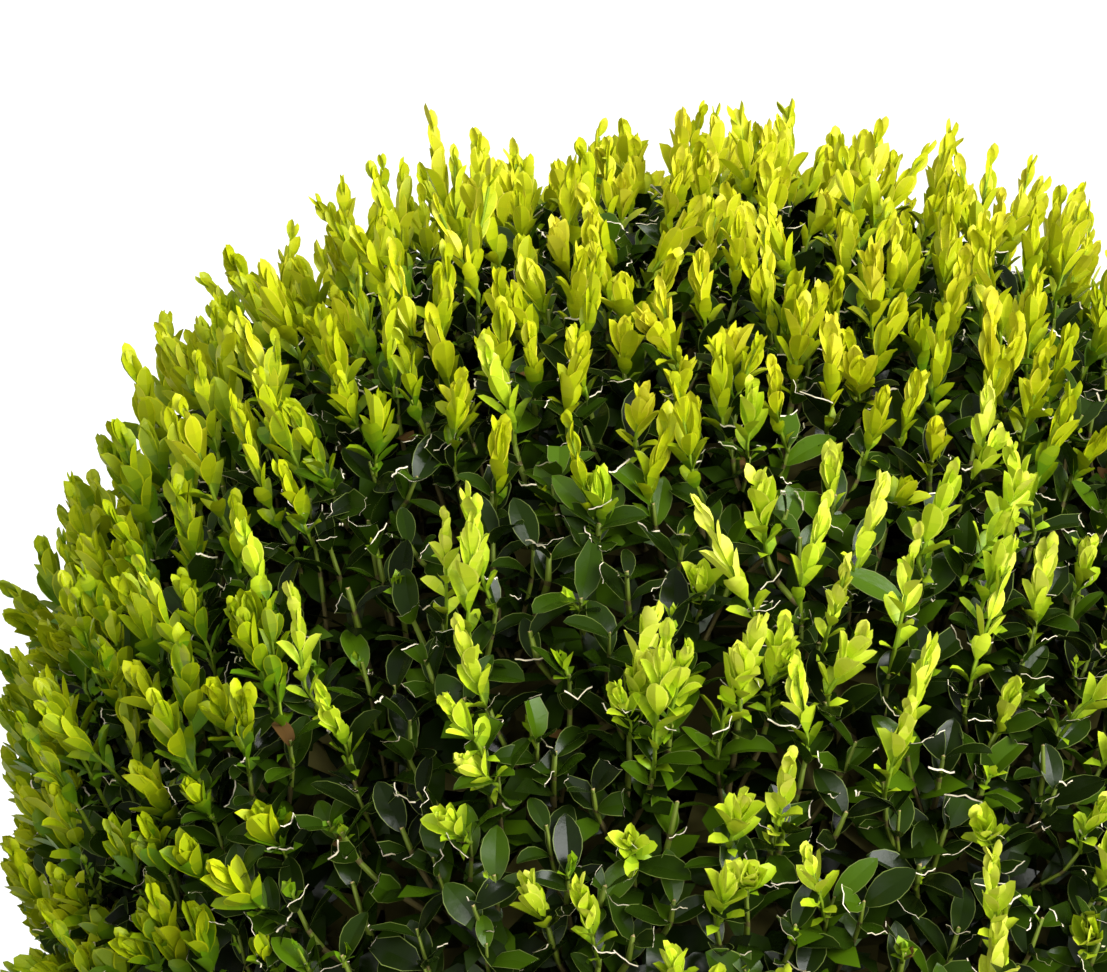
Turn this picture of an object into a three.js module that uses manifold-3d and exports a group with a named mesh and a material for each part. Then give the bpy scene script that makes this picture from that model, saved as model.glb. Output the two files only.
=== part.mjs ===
// A clipped box ball, about half a metre across, growing in the ground.
//
// A short flared trunk stands inside the ball. Boughs leave it at their own heights, fan out
// through the bare inside and each carries one mass of foliage. The masses fit together as a
// hollow ball: each is a piece of the dense, sheared layer, with leafy twigs standing out of it.
// Millimetres, +Z up, origin at the centre of the flat cut under the trunk.
import * as THREE from "three";
import { mergeVertices } from "three/addons/utils/BufferGeometryUtils.js";
import Module from "manifold-3d";

// Driving dimensions
const BALL_RADIUS = 250; // to the tips of the new shoots
const BALL_CENTRE = new THREE.Vector3(0, 0, 236);
const NEW_GROWTH = 36; // what has grown since the ball was last sheared
const TOP_VIGOUR = 10; // how much longer the new shoots are at the top
const LEAFY_DEPTH = 17; // from the sheared surface in to the dense core
const CORE_THICKNESS = 50;
const CORE_ROUGHNESS = 6;
const BARE_RADIUS = 132; // the boughs end this far from the ball's centre
const STEM_OPENING = 62; // radius of the bare ring round the trunk under the ball
const LEAF = { length: 43, width: 24, thickness: 2, widest: 0.56, sunk: 0.03, cup: 0.14 };
const LOWEST_LEAF = 5; // height of the lowest leaf above the ground
const GAP = 0.3; // between pieces that touch

const TRUNK = { height: 112, foot: 30, waist: 17, top: 13, flare: 16, lean: [7, -5] };
const BOUGH = { foot: 6.5, tip: 4.2, sides: 6, steps: 6 };
const LEADER = { foot: 12, tip: 5 };
const BOUGH_RISE = 0.4; // how steeply a bough starts upwards as it leaves the trunk
const BOUGH_NECK = 10; // the last straight stretch of a bough
const TWIG = { foot: 3.2, tip: 2.4, sides: 3, sunk: 16 };
const SPRAYS = 87; // leafy twigs on the whole ball
const SPRAY_FLOOR = -0.9; // height on the unit ball below which no twig grows

// How far a twig bends up from the ball's outward direction, for wood and for new growth
const OLD_LIFT = 0.45;
const NEW_LIFT = 1.5;
// Leaf pairs from the foot of a twig to its tip: spread from the twig in degrees, and size
const PAIRS = [
  { spread: 66, size: 1.0 },
  { spread: 48, size: 0.97 },
  { spread: 23, size: 0.9 },
];

// The rings of masses: how many, how far down from the top in degrees, and the height at which
// their boughs leave the trunk
const RINGS = [
  { name: "top", count: 1, down: 0 },
  { name: "upper", count: 5, down: 57, turn: 36, leaves: [80, 91] },
  { name: "lower", count: 5, down: 113, turn: 0, leaves: [56, 68] },
];
const COLOURS = { top: 0xa9b62a, upper: 0x86a024, lower: 0x4c6b1e, bark: 0x6f6350 };

const UP = new THREE.Vector3(0, 0, 1);
const GOLDEN_ANGLE = Math.PI * (3 - Math.sqrt(5));
const rad = THREE.MathUtils.degToRad;

const wasm = await Module();
wasm.setup();

// A number from 0 to 1 that depends only on its two keys.
function chance(key, draw) {
  const x = Math.sin(key * 12.9898 + draw * 78.233) * 43758.5453;
  return x - Math.floor(x);
}
const spreadOf = (key, draw, amount) => (2 * chance(key, draw) - 1) * amount;

// ---- Between three.js geometry and solids ----

function toSolid(geometry) {
  const bare = new THREE.BufferGeometry().setAttribute("position", geometry.getAttribute("position"));
  if (geometry.index) bare.setIndex(geometry.index);
  const merged = mergeVertices(bare, 1e-4);
  return new wasm.Manifold(
    new wasm.Mesh({
      numProp: 3,
      vertProperties: new Float32Array(merged.attributes.position.array),
      triVerts: new Uint32Array(merged.index.array),
    }),
  );
}

function toGeometry(solid) {
  const mesh = solid.getMesh();
  return new THREE.BufferGeometry()
    .setAttribute("position", new THREE.BufferAttribute(new Float32Array(mesh.vertProperties), 3))
    .setIndex(new THREE.BufferAttribute(new Uint32Array(mesh.triVerts), 1));
}

// ---- Wood ----

// A closed cylinder bent along a line of points, with a radius that narrows from foot to tip.
function limbGeometry(points, foot, tip, sides) {
  const last = points.length - 1;
  const geometry = new THREE.CylinderGeometry(1, 1, 1, sides, last);
  const whole = points[last].clone().sub(points[0]).normalize();
  const reference = new THREE.Vector3(1e-3 - whole.y, whole.x, 0).normalize();
  const places = geometry.getAttribute("position");
  for (let i = 0; i < places.count; i++) {
    const t = places.getY(i) + 0.5;
    const step = Math.round(t * last);
    const [before, after] = [points[Math.max(step - 1, 0)], points[Math.min(step + 1, last)]];
    const tangent = after.clone().sub(before).normalize();
    const over = reference.clone().cross(tangent).normalize();
    const across = tangent.clone().cross(over);
    const radius = THREE.MathUtils.lerp(foot, tip, t ** 0.8);
    const point = points[step]
      .clone()
      .addScaledVector(across, places.getX(i) * radius)
      .addScaledVector(over, places.getZ(i) * radius);
    places.setXYZ(i, point.x, point.y, point.z);
  }
  return geometry;
}

const trunkCentre = (z) =>
  new THREE.Vector3(...TRUNK.lean, 0).multiplyScalar((z / TRUNK.height) ** 2).setZ(z);

// The flare fades within a few centimetres, and its flutes run into the main roots.
function trunkRadius(z, angle) {
  const flare = Math.exp(-z / TRUNK.flare);
  const taper = THREE.MathUtils.lerp(TRUNK.waist, TRUNK.top, z / TRUNK.height);
  const flutes = 0.17 * Math.cos(5 * angle + 0.7) + 0.12 * Math.cos(2 * angle + 1.9);
  return taper + (TRUNK.foot - TRUNK.waist) * flare * (1 + flutes);
}

// Level rings, so that both ends are flat. extra widens it, to cut the boughs clear.
function trunkGeometry(extra = 0) {
  const geometry = new THREE.CylinderGeometry(1, 1, 1, 20, 10).rotateX(Math.PI / 2);
  const places = geometry.getAttribute("position");
  for (let i = 0; i < places.count; i++) {
    const [x, y] = [places.getX(i), places.getY(i)];
    const z = TRUNK.height * (places.getZ(i) + 0.5) ** 1.5;
    const angle = Math.atan2(y, x);
    const reach = Math.hypot(x, y) * (trunkRadius(z, angle) + extra);
    const centre = trunkCentre(z);
    places.setXYZ(i, centre.x + reach * Math.cos(angle), centre.y + reach * Math.sin(angle), z);
  }
  return geometry;
}

// A bough leaves the trunk sideways, the leader upwards, and each comes to its mass along the
// mass's own direction, straight at the last so that its end is square to it.
function boughPoints(mass) {
  const isLeader = mass.ring.name === "top";
  const foot = trunkCentre(isLeader ? TRUNK.height + GAP : mass.leavesAt);
  const sideways = mass.outward.clone().setZ(0).normalize().addScaledVector(UP, BOUGH_RISE);
  const start = isLeader ? UP : sideways;
  const tip = BALL_CENTRE.clone().addScaledVector(mass.outward, BARE_RADIUS);
  const neck = tip.clone().addScaledVector(mass.outward, -BOUGH_NECK);
  const reach = foot.distanceTo(tip);
  const curve = new THREE.CubicBezierCurve3(
    foot,
    foot.clone().addScaledVector(start, 0.36 * reach),
    neck.clone().addScaledVector(mass.outward, -0.3 * reach),
    neck,
  );
  return [...curve.getPoints(BOUGH.steps - 1), tip];
}

function boughSolid(mass, wideTrunk) {
  const size = mass.ring.name === "top" ? LEADER : BOUGH;
  const limb = toSolid(limbGeometry(boughPoints(mass), size.foot, size.tip, BOUGH.sides));
  return mass.ring.name === "top" ? limb : limb.subtract(wideTrunk);
}

// ---- Where foliage grows ----

const outwardOf = (down, turn) =>
  new THREE.Vector3(Math.sin(down) * Math.cos(turn), Math.sin(down) * Math.sin(turn), Math.cos(down));

// Twigs on the underside can't bend up into the ball, so the lift fades there.
function growthDirection(outward, lift) {
  const free = THREE.MathUtils.smoothstep(outward.z, -0.95, 0.1);
  return outward.clone().addScaledVector(UP, lift * free).normalize();
}

const shearedRadius = (outward) =>
  BALL_RADIUS - NEW_GROWTH * growthDirection(outward, NEW_LIFT).dot(outward);
const coreRadius = (outward) => shearedRadius(outward) - LEAFY_DEPTH;

// How far to go from a place in a direction to reach the ball's outside.
function wayOut(place, direction, radius) {
  const from = place.clone().sub(BALL_CENTRE);
  const along = from.dot(direction);
  return Math.sqrt(along ** 2 + radius ** 2 - from.lengthSq()) - along;
}

// A mass keeps to the wedge of the ball that lies nearer to its direction than to any other.
function wedgeOf(mass, masses) {
  return masses
    .filter((other) => other !== mass)
    .map((other) => new THREE.Plane().setFromNormalAndCoplanarPoint(
      mass.outward.clone().sub(other.outward).normalize(),
      BALL_CENTRE,
    ));
}

const keepsTo = (mass, points) =>
  points.every((p) => p.z >= LOWEST_LEAF && mass.wedge.every((plane) => plane.distanceToPoint(p) >= GAP));

// ---- Leaves and twigs ----

// A cupped blade, thickest on its midrib, with its foot at the origin, its length along +X and
// its upper side facing +Z.
function leafGeometry() {
  const half = LEAF.width / 2;
  const outline = [
    [-LEAF.sunk, 0],
    [LEAF.widest, half],
    [1, 0],
    [LEAF.widest, -half],
  ].map(([along, side]) => [along * LEAF.length, side, LEAF.cup * Math.abs(side)]);
  const middle = 0.5 * LEAF.length;
  const points = [...outline, [middle, 0, LEAF.thickness / 2], [middle, 0, -LEAF.thickness / 2]];
  const [top, under] = [outline.length, outline.length + 1];
  const faces = outline.flatMap((_, k) => {
    const next = (k + 1) % outline.length;
    return [next, k, top, k, next, under];
  });
  const geometry = new THREE.BufferGeometry().setIndex(faces);
  return geometry.setAttribute("position", new THREE.Float32BufferAttribute(points.flat(), 3));
}
const WHOLE_LEAF = leafGeometry();

// A leaf that leaves a twig at a place, turned round the twig and spread away from it.
function leafOn(place, axis, turn, spread, size) {
  const side = new THREE.Vector3(1, 0, 0).cross(axis).normalize().applyAxisAngle(axis, turn);
  const along = axis.clone().multiplyScalar(Math.cos(spread)).addScaledVector(side, Math.sin(spread));
  const upper = axis.clone().multiplyScalar(Math.sin(spread)).addScaledVector(side, -Math.cos(spread));
  const frame = new THREE.Matrix4().makeBasis(along, upper.clone().cross(along), upper);
  frame.scale(new THREE.Vector3(size, size, size)).setPosition(place);
  return WHOLE_LEAF.clone().applyMatrix4(frame);
}

const cornersOf = (geometry) => {
  const places = geometry.getAttribute("position");
  return Array.from({ length: places.count }, (_, i) => new THREE.Vector3().fromBufferAttribute(places, i));
};

// The bends of a twig: its foot in the core, the last clip, and the tip of its new growth.
function twigPoints(outward, key) {
  const wood = growthDirection(outward, OLD_LIFT);
  const fresh = growthDirection(outward, NEW_LIFT);
  const surface = BALL_CENTRE.clone().addScaledVector(outward, coreRadius(outward));
  const foot = surface.clone().addScaledVector(wood, -TWIG.sunk);
  const clip = surface.clone().addScaledVector(wood, LEAFY_DEPTH - 5);
  const leaf = LEAF.length * PAIRS[PAIRS.length - 1].size;
  const reach = BALL_RADIUS + TOP_VIGOUR * Math.max(outward.z, 0) + spreadOf(key, 1, 7);
  const out = wayOut(clip, fresh, reach);
  const tip = clip.clone().addScaledVector(fresh, Math.max(out - leaf, 6));
  return { foot, clip, tip, fresh, wood };
}

const twigGeometry = ({ foot, clip, tip }) =>
  limbGeometry([foot, clip, tip], TWIG.foot, TWIG.tip, TWIG.sides);

// The nearest place to the wanted one at which a twig keeps to its mass.
function settledTwig(mass, wanted, key) {
  for (let share = 0; share <= 0.4; share += 0.05) {
    const bends = twigPoints(wanted.clone().lerp(mass.outward, share).normalize(), key);
    if (keepsTo(mass, cornersOf(twigGeometry(bends)))) return bends;
  }
  return null;
}

function sprayGeometries(mass, wanted, key) {
  const bends = settledTwig(mass, wanted, key);
  if (!bends) return [];
  const { clip, tip, fresh, wood } = bends;
  const nodes = [
    [clip, wood],
    [clip.clone().lerp(tip, 0.5), fresh],
    [tip.clone().addScaledVector(fresh, -1.5), fresh],
  ];
  // Pairs stand crosswise to each other. A pair that would leave the mass's space is turned, and
  // then its leaves that still do are skipped.
  const tries = [0, 0.5, -0.5, 1, -1, 1.5].map((turn) =>
    PAIRS.flatMap(({ spread, size }, k) =>
      [0, Math.PI].map((opposite) => {
        const [place, axis] = nodes[k];
        const angle = 2 * Math.PI * chance(key, 2) + turn + (k * Math.PI) / 2 + opposite;
        const lean = rad(spread + spreadOf(key, 3 + 2 * k + opposite, 9));
        return leafOn(place, axis, angle, lean, size * (1 + spreadOf(key, 11 + k, 0.08)));
      }),
    ).filter((leaf) => keepsTo(mass, cornersOf(leaf))),
  );
  const fullest = tries.reduce((best, leaves) => (leaves.length > best.length ? leaves : best));
  return [twigGeometry(bends), ...fullest];
}

// ---- The dense layer ----

function roughBall(radiusAt, detail, roughness) {
  const geometry = mergeVertices(
    new THREE.BufferGeometry().setAttribute(
      "position",
      new THREE.IcosahedronGeometry(1, detail).getAttribute("position"),
    ),
  );
  const places = geometry.getAttribute("position");
  for (let i = 0; i < places.count; i++) {
    const outward = new THREE.Vector3().fromBufferAttribute(places, i).normalize();
    const reach = radiusAt(outward) + spreadOf(i, 21, roughness);
    const point = BALL_CENTRE.clone().addScaledVector(outward, reach);
    places.setXYZ(i, point.x, point.y, point.z);
  }
  return geometry;
}

// The dense layer as one hollow ball, open round the trunk.
function layerSolid() {
  const outside = toSolid(roughBall(coreRadius, 3, CORE_ROUGHNESS));
  const inside = toSolid(roughBall((outward) => coreRadius(outward) - CORE_THICKNESS, 1, 0));
  const opening = new THREE.CylinderGeometry(STEM_OPENING, STEM_OPENING, BALL_CENTRE.z, 16)
    .rotateX(Math.PI / 2)
    .translate(0, 0, BALL_CENTRE.z / 4);
  return outside.subtract(inside).subtract(toSolid(opening));
}

// The short stem of a mass carries on from its bough's tip into the core.
function stemGeometry(mass) {
  const at = (reach) => BALL_CENTRE.clone().addScaledVector(mass.outward, reach);
  const points = [at(BARE_RADIUS + GAP), at(coreRadius(mass.outward) - CORE_THICKNESS / 2)];
  const { tip } = mass.ring.name === "top" ? LEADER : BOUGH;
  return limbGeometry(points, tip, tip, BOUGH.sides);
}

function massSolid(mass, layer) {
  const core = mass.wedge.reduce((solid, plane) => {
    const offset = plane.normal.dot(BALL_CENTRE) + GAP;
    return solid.trimByPlane(plane.normal.toArray(), offset);
  }, layer);
  const grown = mass.sprays.flatMap(({ outward, key }) => sprayGeometries(mass, outward, key));
  return wasm.Manifold.union([core, toSolid(stemGeometry(mass)), ...grown.map(toSolid)]);
}

// ---- Assembly ----

function makeMasses() {
  const masses = RINGS.flatMap((ring) =>
    Array.from({ length: ring.count }, (_, k) => ({
      ring,
      name: ring.count > 1 ? `${ring.name}_${k + 1}` : ring.name,
      outward: outwardOf(rad(ring.down), rad((ring.turn ?? 0) + (360 * k) / ring.count)),
      leavesAt: ring.leaves?.[k % 2],
      sprays: [],
    })),
  );
  for (const mass of masses) mass.wedge = wedgeOf(mass, masses);
  // Twigs stand on a golden-angle lattice, and each belongs to the nearest mass.
  for (let key = 0; key < SPRAYS; key++) {
    const height = 1 - ((key + 0.5) / SPRAYS) * (1 - SPRAY_FLOOR);
    const outward = outwardOf(Math.acos(height), key * GOLDEN_ANGLE + spreadOf(key, 0, 0.08));
    const nearness = (mass) => mass.outward.dot(outward);
    const home = masses.reduce((best, mass) => (nearness(mass) > nearness(best) ? mass : best));
    home.sprays.push({ outward, key });
  }
  return masses;
}

function namedMesh(name, geometry, colour, roughness) {
  const material = new THREE.MeshStandardMaterial({ color: colour, roughness, metalness: 0 });
  const mesh = new THREE.Mesh(geometry, material);
  mesh.name = name;
  return mesh;
}

const plant = new THREE.Group();
const layer = layerSolid();
const wideTrunk = toSolid(trunkGeometry(GAP));
plant.add(namedMesh("trunk", trunkGeometry(), COLOURS.bark, 0.9));
for (const mass of makeMasses()) {
  const bough = toGeometry(boughSolid(mass, wideTrunk));
  const foliage = toGeometry(massSolid(mass, layer));
  plant.add(namedMesh(`bough_${mass.name}`, bough, COLOURS.bark, 0.9));
  plant.add(namedMesh(`foliage_${mass.name}`, foliage, COLOURS[mass.ring.name], 0.55));
}

export default plant;
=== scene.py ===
"""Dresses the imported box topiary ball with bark, twigs, old clipped leaves and new shoots.

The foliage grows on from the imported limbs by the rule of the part's source: the same boughs, the
same golden-angle lattice and the same pull upwards, carried on to fine twigs. Every old twig ends
at the sheared surface with crosswise pairs of dark leaves, the topmost cut straight. New shoots of
soft bright leaves rise from just under the cuts, densest at the top.

Metres, +Z up, origin at the centre of the flat cut under the trunk. The camera looks along +Y.
"""

import math

import bpy
import numpy as np
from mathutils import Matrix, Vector


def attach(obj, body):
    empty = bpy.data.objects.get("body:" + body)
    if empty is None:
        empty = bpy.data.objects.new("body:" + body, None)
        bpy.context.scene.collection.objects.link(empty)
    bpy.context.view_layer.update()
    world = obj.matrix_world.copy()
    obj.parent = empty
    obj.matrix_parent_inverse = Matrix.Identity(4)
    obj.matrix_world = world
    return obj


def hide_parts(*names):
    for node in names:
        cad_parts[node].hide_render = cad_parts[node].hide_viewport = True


# ---- Driving dimensions shared with the part's source ----
BALL_RADIUS = 0.250  # to the tips of the new shoots
BALL_CENTRE = np.array([0.0, 0.0, 0.236])
NEW_GROWTH = 0.036  # what has grown since the ball was last sheared
BARE_RADIUS = 0.132  # the boughs end this far from the ball's centre
TRUNK = {
    "height": 0.112,
    "foot": 0.030,
    "waist": 0.017,
    "top": 0.013,
    "flare": 0.016,
    "lean": (0.007, -0.005),
}
FLUTES = [(0.17, 5, 0.7), (0.12, 2, 1.9)]  # of the root flare: depth, how many, and their turn
BOUGH = {"foot": 0.0065, "tip": 0.0042}
LEADER = {"foot": 0.012, "tip": 0.005}
BOUGH_RISE = 0.4  # how much a bough rises as it leaves the trunk
BOUGH_NECK = 0.010  # its straight end
BOUGH_PULLS = (0.36, 0.3)  # its curve's handles at foot and neck, as shares of its reach
TOUCH = 0.0003  # between pieces that touch
OLD_LIFT = 0.45  # how strongly the old wood turns upwards
NEW_LIFT = 1.5  # and the new shoots
LIFT_HEIGHTS = (-0.95, 0.1)  # heights on the unit ball between which that turn sets in
# The masses: degrees down from the top and round, and heights where their boughs leave the trunk
RINGS = [
    {"name": "top", "count": 1, "down": 0, "turn": 0, "leaves": [0.112]},
    {"name": "upper", "count": 5, "down": 57, "turn": 36, "leaves": [0.080, 0.091]},
    {"name": "lower", "count": 5, "down": 113, "turn": 0, "leaves": [0.056, 0.068]},
]

# ---- The finer growth that only the scene has ----
# Each level of wood: how many limbs, how deep under the sheared surface they end, how low on the
# unit ball they still grow, how strongly they turn upwards, how far behind its end a limb looks for
# the limb that it grows from, and its radii at foot and tip
BRANCH = {
    "count": 120, "depth": 0.068, "floor": -0.90, "lift": OLD_LIFT, "behind": 0.030,
    "foot": 0.0034, "tip": 0.0022,
}
BRANCHLET = {
    "count": 520, "depth": 0.040, "floor": -0.91, "lift": 1.0, "behind": 0.030,
    "foot": 0.0020, "tip": 0.0014,
}
TWIG = {
    "count": 2000, "depth": 0.0, "floor": -0.92, "lift": 1.8, "behind": 0.042,
    "foot": 0.0011, "tip": 0.00075,
}
LIMB_PULLS = (0.35, 0.42)  # the handles of a limb's curve at foot and tip, as shares of its span
LATTICE_NOISE = 0.24  # how far places stray from the lattice, as a share of their spacing
WOOD_NOISE = {"direction": 0.13, "reach": 0.0022}
LOWEST = 0.004  # height of the lowest leaf above the ground
PIECE_LIMIT = 185_000  # triangles in one piece
GOLDEN_ANGLE = math.pi * (3 - math.sqrt(5))
UP = np.array([0.0, 0.0, 1.0])

# Half outlines from foot to tip: share of the length, share of the half width
OLD_OUTLINE = [
    (0, 0), (0.08, 0.36), (0.22, 0.71), (0.40, 0.95),
    (0.56, 1.0), (0.75, 0.83), (0.91, 0.44), (1, 0),
]
NEW_OUTLINE = [(0, 0), (0.12, 0.34), (0.33, 0.79), (0.55, 1.0), (0.75, 0.91), (0.91, 0.55), (1, 0)]
SIMPLE_OUTLINE = [(0, 0), (0.15, 0.40), (0.42, 0.90), (0.68, 0.98), (0.90, 0.64), (1, 0)]
PLAIN_OUTLINE = [(0, 0), (0.22, 0.72), (0.62, 1.0), (1, 0)]

rng = np.random.default_rng(110)


def srgb(red, green, blue):
    """A screen colour, 0 to 255, as linear light."""
    values = np.array([red, green, blue]) / 255
    return (*np.where(values <= 0.04045, values / 12.92, ((values + 0.055) / 1.055) ** 2.4), 1.0)


def blended(keys, count):
    """Colours evenly spaced along a line of key colours."""
    keys = np.array(keys)
    return [
        tuple(np.interp(spot, np.arange(len(keys)), channel) for channel in keys.T)
        for spot in np.linspace(0, len(keys) - 1, count)
    ]


# Key colours of each palette, from the lightest leaf to the darkest. New leaves are more yellow
# where they grow in full light
TINTS = 12
# The lightest tints of the new palettes mostly colour the new leaves' lighter margins, partly painted
# rim light
SUNNY_KEYS = [(233, 226, 62), (210, 214, 24), (188, 201, 14), (153, 175, 9), (98, 140, 10)]
SHADED_KEYS = [(237, 243, 94), (215, 233, 50), (190, 216, 34), (144, 180, 18), (94, 136, 14)]
OLD_KEYS = [(74, 106, 10), (46, 71, 6), (31, 49, 6), (20, 32, 5), (14, 21, 4)]
SUNNY_TINTS, SHADED_TINTS, OLD_TINTS = (
    blended([srgb(*key) for key in keys], TINTS) for keys in (SUNNY_KEYS, SHADED_KEYS, OLD_KEYS)
)


# ---- Small vector helpers on arrays of points ----


def unit(vectors):
    return vectors / np.maximum(np.linalg.norm(vectors, axis=-1, keepdims=True), 1e-12)


def dot(a, b):
    return np.sum(a * b, axis=-1)


def lerp(a, b, t):
    return a + (b - a) * t


def smoothstep(x, low, high):
    t = np.clip((x - low) / (high - low), 0, 1)
    return t * t * (3 - 2 * t)


def turned(vectors, axes, angles):
    """The vectors turned about unit axes."""
    cos, sin = np.cos(angles)[..., None], np.sin(angles)[..., None]
    along = axes * (dot(axes, vectors)[..., None] * (1 - cos))
    return vectors * cos + np.cross(axes, vectors) * sin + along


def sideways_of(axes):
    """A unit vector square to each axis."""
    return unit(np.cross(axes, np.array([1.0, 0.13, 0.0])))


def bezier(ends, t):
    """Points and directions at each share t of cubic curves given by four arrays of points."""
    a, b, c, d = (p[:, None, :] for p in ends)
    t = np.atleast_2d(t)[..., None]
    points = a * (1 - t) ** 3 + 3 * b * t * (1 - t) ** 2 + 3 * c * t**2 * (1 - t) + d * t**3
    slopes = (b - a) * (1 - t) ** 2 + 2 * (c - b) * t * (1 - t) + (d - c) * t**2
    return points, unit(slopes)


# ---- Where foliage grows: the rule of the part's source ----


def outward_of(down, turn):
    """The direction that lies down from the top by one angle and round by the other."""
    across = np.sin(down)
    return np.stack([across * np.cos(turn), across * np.sin(turn), np.cos(down)], axis=-1)


def growth_direction(outward, lift):
    """Outward, turned upwards, though less so under the ball."""
    free = smoothstep(outward[..., 2], *LIFT_HEIGHTS)
    return unit(outward + UP * (lift * free)[..., None])


def sheared_radius(outward):
    """How far from the ball's centre the shears passed."""
    return BALL_RADIUS - NEW_GROWTH * dot(growth_direction(outward, NEW_LIFT), outward)


def way_out(places, directions, radius):
    """How far to go from each place in a direction to reach the ball's outside."""
    start = places - BALL_CENTRE
    along = dot(start, directions)
    return np.sqrt(np.maximum(along**2 + radius**2 - dot(start, start), 0)) - along


def lattice(count, floor):
    """Directions evenly spread over the ball from its top down, each moved a little at random."""
    key = np.arange(count)
    height = 1 - (key + 0.5) / count * (1 - floor)
    outward = outward_of(np.arccos(height), key * GOLDEN_ANGLE)
    spacing = math.sqrt(2 * math.pi * (1 - floor) / count)
    return unit(outward + rng.normal(0, LATTICE_NOISE * spacing, (count, 3)))


# ---- Meshes from arrays ----


class Growth:
    """Gathers triangles for one piece, each with the number of its material."""

    def __init__(self):
        self.places, self.faces, self.tints, self.count = [], [], [], 0

    def add(self, places, faces, tints):
        """places is (copies, points, 3), faces is that of one copy, and tints (copies, faces)."""
        copies, points = places.shape[:2]
        if not copies:
            return
        starts = self.count + points * np.arange(copies)
        self.places.append(places.reshape(-1, 3))
        self.faces.append((faces[None] + starts[:, None, None]).reshape(-1, 3))
        self.tints.append(np.broadcast_to(tints, (copies, len(faces))).ravel())
        self.count += copies * points

    def piece(self, name, materials, replaces=()):
        """Makes the mesh, and says what it rides on and stands for."""
        places, faces = np.concatenate(self.places), np.concatenate(self.faces)
        mesh = bpy.data.meshes.new(name)
        mesh.vertices.add(len(places))
        mesh.vertices.foreach_set("co", places.astype(np.float32).ravel())
        mesh.loops.add(faces.size)
        mesh.loops.foreach_set("vertex_index", faces.astype(np.int32).ravel())
        mesh.polygons.add(len(faces))
        mesh.polygons.foreach_set("loop_start", np.arange(0, faces.size, 3, dtype=np.int32))
        for material in materials:
            mesh.materials.append(material)
        mesh.polygons.foreach_set("material_index", np.concatenate(self.tints).astype(np.int32))
        mesh.update(calc_edges=True)
        mesh.shade_smooth()
        made = bpy.data.objects.new(name, mesh)
        bpy.context.scene.collection.objects.link(made)
        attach(made, "root")
        if replaces:
            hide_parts(*replaces)


def tube_faces(rings, sides):
    """Triangles of a closed tube whose points run ring by ring."""
    ring, side = np.meshgrid(np.arange(rings - 1), np.arange(sides), indexing="ij")
    a = (ring * sides + side).ravel()
    b = (ring * sides + (side + 1) % sides).ravel()
    walls = np.concatenate([np.stack([a, b, b + sides], 1), np.stack([a, b + sides, a + sides], 1)])
    fan = np.array([[0, k + 1, k] for k in range(1, sides - 1)])
    last = (rings - 1) * sides
    return np.concatenate([walls, fan, fan[:, ::-1] + last])


def tube_points(points, radii, sides, relief=None):
    """Rings round lines of points, as (limbs, rings * sides, 3). relief scales each point's radius."""
    tangents = unit(np.gradient(points, axis=1))
    whole = unit(points[:, -1] - points[:, 0])
    reference = unit(np.cross(whole, UP) + np.array([1e-4, 0, 0]))[:, None]
    over = unit(np.cross(reference, tangents))
    across = np.cross(tangents, over)
    angles = np.arange(sides) * 2 * math.pi / sides
    scale = radii[..., None] if relief is None else radii[..., None] * relief
    ring = across[:, :, None] * (np.cos(angles) * scale)[..., None]
    ring = ring + over[:, :, None] * (np.sin(angles) * scale)[..., None]
    return (points[:, :, None] + ring).reshape(len(points), -1, 3)


# ---- Trunk and boughs with the relief of their bark ----

TRUNK_RELIEF, BOUGH_RELIEF = 0.055, 0.07  # depth of the bark, as a share of the radius


def bark_relief(distance, angle, key, depth):
    """How bark swells and cracks, as a share of the radius: long ridges broken across.

    The numbers are the waves' speeds along each metre and round each turn, and their weights.
    """
    wander = 1.3 * np.sin(70 * distance + key) + 0.8 * np.sin(173 * distance + 2.1 * key + angle)
    ridges = np.abs(np.sin(4 * angle + wander)) ** 0.6 - 0.6
    cracks = np.sin(420 * distance + 3.0 * np.sin(3 * angle + key) + 5 * np.sin(60 * distance))
    swell = np.sin(45 * distance + 1.7 * key + np.sin(angle))
    return 1 + depth * (0.9 * ridges + 0.35 * cracks + 0.8 * swell)


def trunk_centre(z):
    lean = np.array([*TRUNK["lean"], 0.0])
    return lean * ((z / TRUNK["height"]) ** 2)[..., None] + UP * z[..., None]


def trunk_radius(z, angle):
    flare = np.exp(-z / TRUNK["flare"])
    flutes = sum(depth * np.cos(count * angle + turn) for depth, count, turn in FLUTES)
    taper = lerp(TRUNK["waist"], TRUNK["top"], z / TRUNK["height"])
    return taper + (TRUNK["foot"] - TRUNK["waist"]) * flare * (1 + flutes)


def make_trunk(bark):
    sides, rings = 72, 64
    z, angle = np.meshgrid(
        TRUNK["height"] * np.linspace(0, 1, rings) ** 1.3,
        np.arange(sides) * 2 * math.pi / sides,
        indexing="ij",
    )
    reach = trunk_radius(z, angle) * bark_relief(z, angle, key=0.4, depth=TRUNK_RELIEF)
    round_it = np.stack([np.cos(angle), np.sin(angle), np.zeros_like(angle)], axis=-1)
    places = trunk_centre(z) + round_it * reach[..., None]
    growth = Growth()
    faces = tube_faces(rings, sides)
    growth.add(places.reshape(1, -1, 3), faces, np.zeros(len(faces)))
    growth.piece("trunk_bark", [bark], ["trunk"])


def make_masses():
    """The sectors of the ball, each with one bough: its name, direction, foot and girth."""
    masses = []
    for ring in RINGS:
        for k in range(ring["count"]):
            down = math.radians(ring["down"])
            turn = math.radians(ring["turn"] + 360 * k / ring["count"])
            name = ring["name"] if ring["count"] == 1 else f"{ring['name']}_{k + 1}"
            masses.append({
                "name": name,
                "outward": outward_of(down, turn),
                "leaves_at": ring["leaves"][k % len(ring["leaves"])],
                "size": LEADER if ring["count"] == 1 else BOUGH,
            })
    return masses


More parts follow.
